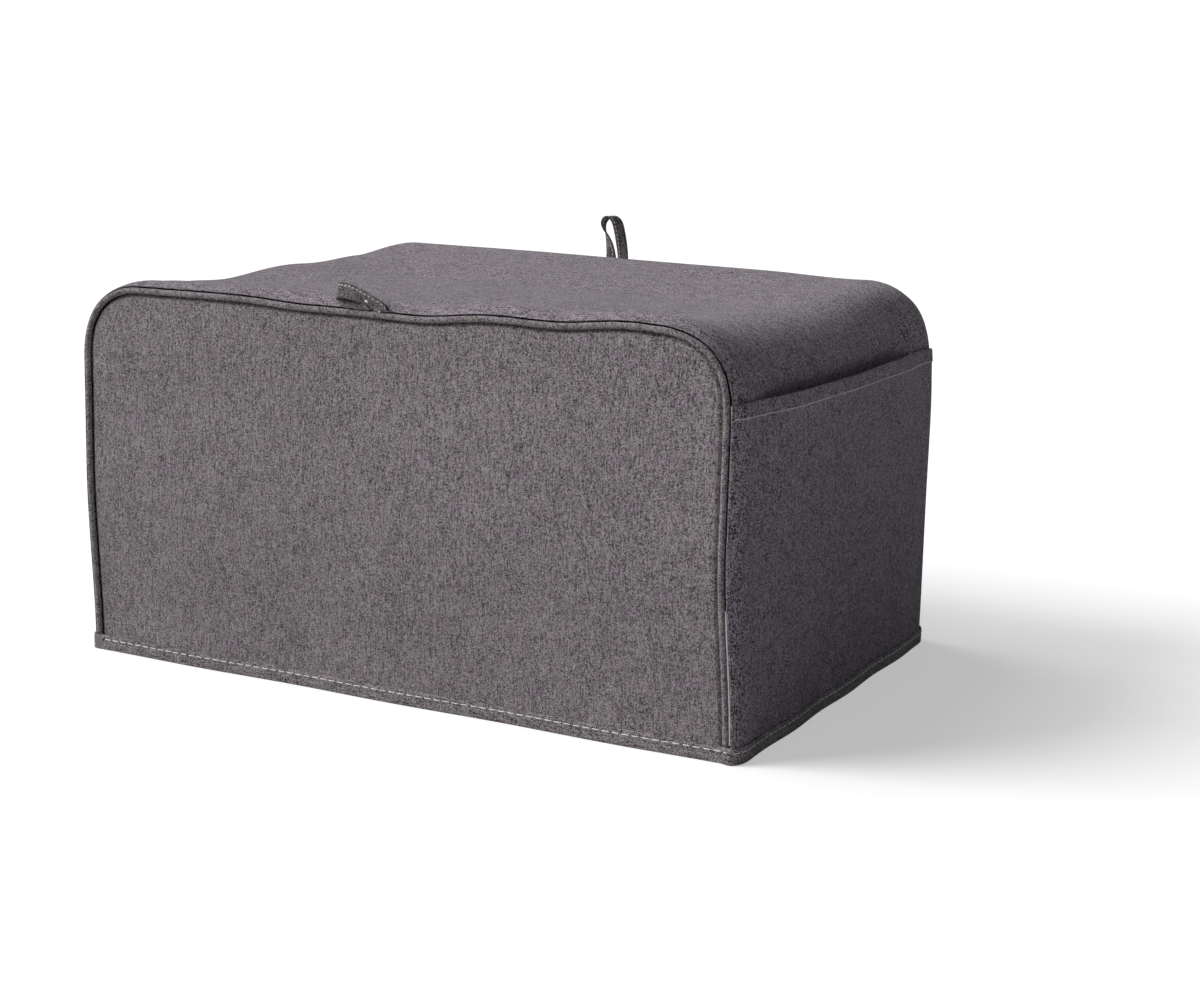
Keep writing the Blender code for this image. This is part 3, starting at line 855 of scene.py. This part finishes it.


# Loops
# Each end seam holds a loop of tape, folded from the cover's own cloth and edge stitched; the
# tape's cloth is drawn darker, as painted shade.
# The back one stands up and the front one has fallen over to the left.

TAPE_WIDTH = 0.0086
TAPE_THICK = 0.0013
LOOP_SMOOTHING = 3
BACK_LOOP_ACROSS = -0.0181
FRONT_LOOP_ACROSS = -0.0040
TAPE_SECTION = (
    # share of the half width, share of the half thickness
    (-0.90, -1.00),
    (-0.45, -1.05),
    (0.00, -1.05),
    (0.45, -1.05),
    (0.90, -1.00),
    (1.00, -0.50),
    (1.00, 0.50),
    (0.90, 1.00),
    (0.45, 1.05),
    (0.00, 1.05),
    (-0.45, 1.05),
    (-0.90, 1.00),
    (-1.00, 0.50),
    (-0.96, 0.00),
    (-1.00, -0.50),
)
BACK_LOOP = (
    # across, out, up, width across, width in depth, width up
    (0.0049, 0.0000, 0.0000, 1.00, 0.00, 0.00),
    (0.0044, -0.0001, 0.0080, 0.98, 0.12, 0.00),
    (0.0036, -0.0006, 0.0143, 0.94, 0.30, 0.00),
    (0.0026, -0.0012, 0.0207, 0.90, 0.42, 0.00),
    (0.0013, -0.0018, 0.0272, 0.85, 0.52, 0.00),
    (-0.0004, -0.0022, 0.0322, 0.78, 0.62, 0.04),
    (-0.0038, -0.0024, 0.0352, 0.62, 0.78, 0.05),
    (-0.0084, -0.0024, 0.0350, 0.30, 0.95, 0.00),
    (-0.0118, -0.0022, 0.0305, 0.05, 1.00, -0.04),
    (-0.0112, -0.0018, 0.0258, -0.26, 0.96, 0.00),
    (-0.0090, -0.0012, 0.0215, -0.58, 0.80, 0.00),
    (-0.0068, -0.0005, 0.0150, -0.88, 0.48, 0.00),
    (-0.0057, -0.0001, 0.0080, -0.97, 0.22, 0.00),
    (-0.0050, 0.0000, 0.0000, -1.00, 0.00, 0.00),
)
FRONT_LOOP = (
    # across, out, up, width across, width in depth, width up
    (0.0050, 0.0000, 0.0000, 1.44, 0.00, 0.00),
    (0.0040, 0.0006, 0.0030, 1.20, -0.20, 0.34),
    (-0.0030, 0.0014, 0.0062, 0.80, -0.42, 0.74),
    (-0.0110, 0.0018, 0.0094, 0.42, -0.26, 1.00),
    (-0.0186, 0.0014, 0.0110, 0.14, 0.04, 1.14),
    (-0.0246, 0.0004, 0.0112, 0.04, 0.20, 1.16),
    (-0.0288, -0.0018, 0.0106, 0.02, 0.30, 1.14),
    (-0.0296, -0.0046, 0.0088, 0.02, 0.45, 1.06),
    (-0.0272, -0.0054, 0.0062, 0.08, 0.80, 0.98),
    (-0.0222, -0.0046, 0.0042, 0.24, 0.96, 0.88),
    (-0.0168, -0.0028, 0.0030, 0.60, 0.80, 0.60),
    (-0.0116, -0.0008, 0.0016, 1.10, 0.26, 0.20),
    (-0.0090, 0.0000, 0.0000, 1.30, 0.00, 0.00),
)

# The tape is the cover's own cloth with its tones darkened to about 0.6 times: painted shade on the
# loops.
tape_cloth_painted_shade = make_cloth(
    "tape_cloth_painted_shade",
    dark=(0.014, 0.012, 0.013, 1.0),
    light=(0.205, 0.185, 0.191, 1.0),
    cool=COOL_CAST,
)


def smooth_rows(table, rounds):
    """Round a coarse table by cutting its corners, keeping its two ends."""
    rows = np.array(table)
    for _ in range(rounds):
        first, second = rows[:-1], rows[1:]
        cut = np.stack([0.75 * first + 0.25 * second, 0.25 * first + 0.75 * second], axis=1)
        rows = np.concatenate([rows[:1], cut.reshape(-1, rows.shape[1]), rows[-1:]])
    return rows


def loop_frame(table, across, side):
    """Centre line of a loop, its half width as a vector, and the way its outer face looks."""
    height = TOP - SEAM_INSET_TOP + PIPING_RADIUS + 2 * GAP
    foot = settle(np.array([(across, side * HALF_DEPTH, height)]))[0]
    foot = foot + (0.0, side * (GAP + TAPE_THICK / 2), 0.0)
    rows = smooth_rows(table, LOOP_SMOOTHING)
    centres = foot + rows[:, :3] * (1.0, side, 1.0)
    padded = np.concatenate([centres[:1], centres, centres[-1:]])
    ahead = padded[2:] - padded[:-2]
    thick = np.cross(ahead, rows[:, 3:])
    thick = thick / np.linalg.norm(thick, axis=1)[:, None]
    return centres, rows[:, 3:] * TAPE_WIDTH / 2, thick


def add_loop(name, table, across, side):
    """A loop of folded tape, both ends sewn side by side into a top seam."""
    centres, wide, thick = loop_frame(table, across, side)
    shares = np.array(TAPE_SECTION)
    rings = centres[:, None] + wide[:, None] * shares[:, :1]
    rings = rings + thick[:, None] * shares[:, 1:] * TAPE_THICK / 2
    girth = run_along(shares * (TAPE_WIDTH / 2, TAPE_THICK / 2))
    cloth = np.stack(np.broadcast_arrays(girth[None], run_along(centres)[:, None]), -1)
    piece = add_sweep(name + "_cloth", rings, tape_cloth_painted_shade, cloth)
    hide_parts(name)
    return piece


front_loop = add_loop("front_loop", FRONT_LOOP, FRONT_LOOP_ACROSS, -1.0)
back_loop = add_loop("back_loop", BACK_LOOP, BACK_LOOP_ACROSS, 1.0)


# Stitching
# One row of pale grey lockstitch holds the binding, another the pocket's hem.
# The same thread runs along both tape loops and ends in a small knot on the front one.

THREAD_RADIUS = 0.00035
FINE_THREAD = 0.00023
KNOT_THREAD = 0.00075
THREAD_SIDES = 7
THREAD_RINGS = 6
THREAD_SINK = 0.00022
HEM_STITCH_PITCH = 0.0066
HEM_STITCH = 0.0046
HEM_STITCH_HEIGHT = 0.0076
POCKET_STITCH_PITCH = 0.0034
POCKET_STITCH = 0.0030
POCKET_STITCH_DROP = 0.0076
LOOP_STITCH_PITCH = 0.0032
LOOP_STITCH = 0.0021
KNOT_EDGE = -0.30
KNOT_START = 0.0098
KNOT_END = 0.0120

thread = bpy.data.materials.new("stitching_thread")
thread.use_nodes = True
thread_shader = thread.node_tree.nodes["Principled BSDF"]
thread_place = add_node(thread.node_tree, "ShaderNodeTexCoord").outputs["Object"]
thread_noise = add_node(thread.node_tree, "ShaderNodeTexNoise", {
    "Vector": thread_place,
    "Scale": 900.0,
})
thread_tone = add_node(thread.node_tree, "ShaderNodeMix", {
    "Factor": thread_noise.outputs["Fac"],
    "A": (0.55, 0.55, 0.54, 1.0),
    "B": (0.86, 0.86, 0.84, 1.0),
}, data_type="RGBA")
thread.node_tree.links.new(thread_tone.outputs["Result"], thread_shader.inputs["Base Color"])
thread_shader.inputs["Roughness"].default_value = 0.6
thread_shader.inputs["Sheen Weight"].default_value = 0.1


def add_stitches(name, starts, ends, ways, radius):
    """A row of stitches, each a short thread that rises from the cloth and dives again."""
    share = np.linspace(0.0, 1.0, THREAD_RINGS)
    angle = 2.0 * math.pi * np.arange(THREAD_SIDES) / THREAD_SIDES
    ahead = ends - starts
    side = np.cross(ahead, ways)
    side = side / np.linalg.norm(side, axis=1)[:, None]
    rise = THREAD_SINK * (1.0 - (2.0 * share - 1.0) ** 4) - THREAD_SINK
    centre = starts[:, None] + ahead[:, None] * share[:, None] + ways[:, None] * rise[:, None]
    spoke = side[:, None] * np.cos(angle)[:, None] + ways[:, None] * np.sin(angle)[:, None]
    points = centre[:, :, None] + spoke[:, None] * radius
    per_stitch = THREAD_RINGS * THREAD_SIDES
    index = np.arange(per_stitch).reshape(THREAD_RINGS, THREAD_SIDES)
    after = np.roll(index, -1, axis=1)
    quads = np.stack([index[:-1], after[:-1], after[1:], index[1:]], -1).reshape(-1, 4)
    caps = np.stack([index[0, ::-1], index[-1]])
    faces = []
    for first in range(0, len(starts) * per_stitch, per_stitch):
        faces += (quads + first).tolist() + (caps + first).tolist()
    return add_mesh(name, points.reshape(-1, 3), faces, thread)


def resample(points, places, run):
    """Read a row of points at places along its run."""
    return np.column_stack([np.interp(places, run, column) for column in points.T])


def stitch_line(name, surface, ways, pitch, length, radius=THREAD_RADIUS):
    """Stitches of one length at an even pitch along a row of surface points."""
    run = run_along(surface)
    starts = np.arange(0.5 * pitch, run[-1] - pitch, pitch)
    middle = resample(ways, starts + 0.5 * length, run)
    middle = middle / np.linalg.norm(middle, axis=1)[:, None]
    return add_stitches(
        name,
        resample(surface, starts, run),
        resample(surface, starts + length, run),
        middle,
        radius,
    )


flat_ways = np.column_stack([ways, np.zeros(len(ways))])
hem_line = hem_points(path, ways, face_out, np.full_like(face_out, HEM_STITCH_HEIGHT))[:, 0]
hem_stitches = stitch_line("hem_stitches", hem_line, flat_ways, HEM_STITCH_PITCH, HEM_STITCH)
hem_inside = hem_points(path, ways, face_in, np.full_like(face_in, HEM_STITCH_HEIGHT))[:, 0]
inner_stitches = stitch_line(
    "hem_stitches_inside", hem_inside, -flat_ways, HEM_STITCH_PITCH, HEM_STITCH
)

stitch_height = np.array([POCKET_TOP - POCKET_STITCH_DROP])
stitch_rows = depth_rows(0.001)
pocket_line = pocket_points(stitch_height, stitch_rows, POCKET_CLOTH, pocket_step(stitch_height))[0]
pocket_ways = pocket_line - pocket_points(stitch_height, stitch_rows, 0.0)[0]
pocket_stitches = stitch_line(
    "pocket_stitches",
    pocket_line,
    pocket_ways,
    POCKET_STITCH_PITCH,
    POCKET_STITCH,
    FINE_THREAD,
)

for label, table, across, side, edge in (
    ("front_loop", FRONT_LOOP, FRONT_LOOP_ACROSS, -1.0, 0.62),
    ("back_loop", BACK_LOOP, BACK_LOOP_ACROSS, 1.0, -0.55),
):
    centres, wide, thick = loop_frame(table, across, side)
    for face, way in (("outer", 1.0), ("inner", -1.0)):
        line = centres + edge * wide + way * thick * TAPE_THICK / 2
        stitch_line(
            label + "_" + face + "_stitches",
            line,
            way * thick,
            LOOP_STITCH_PITCH,
            LOOP_STITCH,
            FINE_THREAD,
        )

centres, wide, thick = loop_frame(FRONT_LOOP, FRONT_LOOP_ACROSS, -1.0)
knot_line = centres + KNOT_EDGE * wide - thick * TAPE_THICK / 2
knot = add_stitches(
    "front_loop_knot",
    resample(knot_line, [KNOT_START], run_along(knot_line)),
    resample(knot_line, [KNOT_END], run_along(knot_line)),
    -resample(thick, [KNOT_START], run_along(knot_line)),
    KNOT_THREAD,
)


# Floor, light and camera
# A plain pale floor under soft studio lamps, seen from the photograph's side.

FLOOR_SIZE = 60.0
floor_mesh = bpy.data.meshes.new("floor")
half = FLOOR_SIZE / 2
floor_mesh.from_pydata(
    [(-half, -half, 0.0), (half, -half, 0.0), (half, half, 0.0), (-half, half, 0.0)],
    [],
    [(0, 1, 2, 3)],
)
floor = bpy.data.objects.new("floor", floor_mesh)
bpy.context.scene.collection.objects.link(floor)
floor_paint = bpy.data.materials.new("floor_paint")
floor_paint.use_nodes = True
floor_tree = floor_paint.node_tree
seen = add_node(floor_tree, "ShaderNodeLightPath").outputs["Is Camera Ray"]
floor_tone = add_node(floor_tree, "ShaderNodeMix", {
    "Factor": seen,
    "A": (0.52, 0.52, 0.52, 1.0),
    "B": (0.72, 0.72, 0.72, 1.0),
}, data_type="RGBA")
floor_shader = floor_tree.nodes["Principled BSDF"]
floor_tree.links.new(floor_tone.outputs["Result"], floor_shader.inputs["Base Color"])
floor_glow = add_node(floor_tree, "ShaderNodeMix", {
    "Factor": seen,
    "A": (0.0, 0.0, 0.0, 1.0),
    "B": (0.42, 0.42, 0.42, 1.0),
}, data_type="RGBA")
floor_tree.links.new(floor_glow.outputs["Result"], floor_shader.inputs["Emission Color"])
floor_shader.inputs["Emission Strength"].default_value = 1.0
floor_shader.inputs["Roughness"].default_value = 1.0
floor_shader.inputs["Specular IOR Level"].default_value = 0.0
floor_mesh.materials.append(floor_paint)

world = bpy.data.worlds.new("studio")
bpy.context.scene.world = world
world.use_nodes = True
sky = world.node_tree
sky_seen = add_node(sky, "ShaderNodeLightPath").outputs["Is Camera Ray"]
sky_tone = add_node(sky, "ShaderNodeMix", {
    "Factor": sky_seen,
    "A": (0.10, 0.10, 0.11, 1.0),
    "B": (1.05, 1.05, 1.05, 1.0),
}, data_type="RGBA")
sky.links.new(sky_tone.outputs["Result"], sky.nodes["Background"].inputs["Color"])

LAMPS = (
    # name, where the light comes from, strength, spread in degrees
    ("key", (-1.15, -0.72, 0.90), 2.95, 34.0),
    ("overhead", (-0.90, 0.00, 1.00), 1.28, 50.0),
    ("front_fill", (0.06, -1.00, 0.15), 0.36, 24.0),
    ("side_fill", (1.00, -0.75, 0.06), 0.20, 50.0),
)
for name, source, strength, spread in LAMPS:
    light = bpy.data.lights.new(name, "SUN")
    light.energy = strength
    light.angle = math.radians(spread)
    lamp = bpy.data.objects.new(name, light)
    bpy.context.scene.collection.objects.link(lamp)
    lamp.rotation_euler = Vector(source).to_track_quat("Z", "Y").to_euler()

IMAGE_WIDTH = 1200
CAMERA_AZIMUTH = math.radians(26.97)
CAMERA_ELEVATION = math.radians(10.93)
CAMERA_ROLL = math.radians(1.612)
CAMERA_DISTANCE = 1.4202
CAMERA_ACROSS = 0.0590
CAMERA_UP = 0.1019
FOCAL_PIXELS = 2009.7
SENSOR = 36.0

flat_x = math.sin(CAMERA_AZIMUTH) * math.cos(CAMERA_ELEVATION)
flat_y = -math.cos(CAMERA_AZIMUTH) * math.cos(CAMERA_ELEVATION)
back = Vector((flat_x, flat_y, math.sin(CAMERA_ELEVATION)))
level = Vector((math.cos(CAMERA_AZIMUTH), math.sin(CAMERA_AZIMUTH), 0.0))
upright = back.cross(level)
right = level * math.cos(CAMERA_ROLL) + upright * math.sin(CAMERA_ROLL)
up = upright * math.cos(CAMERA_ROLL) - level * math.sin(CAMERA_ROLL)
camera_data = bpy.data.cameras.new("camera")
camera_data.sensor_width = SENSOR
camera_data.lens = FOCAL_PIXELS / IMAGE_WIDTH * SENSOR
camera = bpy.data.objects.new("camera", camera_data)
bpy.context.scene.collection.objects.link(camera)
turn = Matrix((right, up, back)).transposed().to_4x4()
camera.matrix_world = Matrix.Translation(
    back * CAMERA_DISTANCE + right * CAMERA_ACROSS + up * CAMERA_UP
) @ turn
bpy.context.scene.camera = camera
bpy.context.scene.view_settings.view_transform = "Standard"
